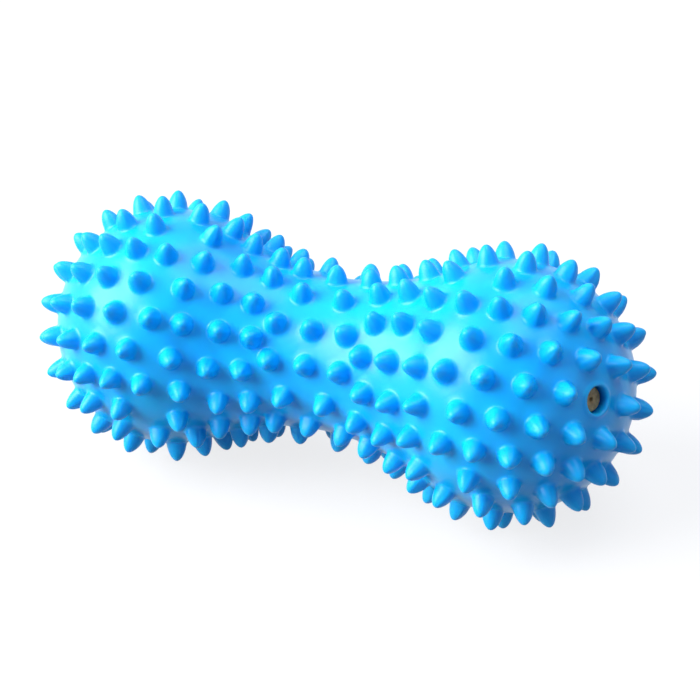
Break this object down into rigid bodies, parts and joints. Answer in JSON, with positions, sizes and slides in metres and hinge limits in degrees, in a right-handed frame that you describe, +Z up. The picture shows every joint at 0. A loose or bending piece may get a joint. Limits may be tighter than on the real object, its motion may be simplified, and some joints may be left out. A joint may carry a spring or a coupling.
{
  "type": "spiked massage ball",
  "caption": "Hollow peanut-shaped massage ball with two round lobes, a narrow waist, blunt spikes all over and a recessed needle-valve plug near one end.",
  "frame": {"origin": "on the floor under the middle of the ball as it lies on its side", "axes": "+X along the long axis towards the lobe with the filling hole, +Z up"},
  "size_m": [0.1612, 0.0708, 0.0702],
  "materials": {
    "soft_pvc": "glossy, slightly translucent soft vinyl",
    "plug_rubber": "matt tan rubber"
  },
  "bodies": {
    "root": {"peanut_shell": "soft_pvc", "valve_plug": "plug_rubber"}
  },
  "joints": []
}
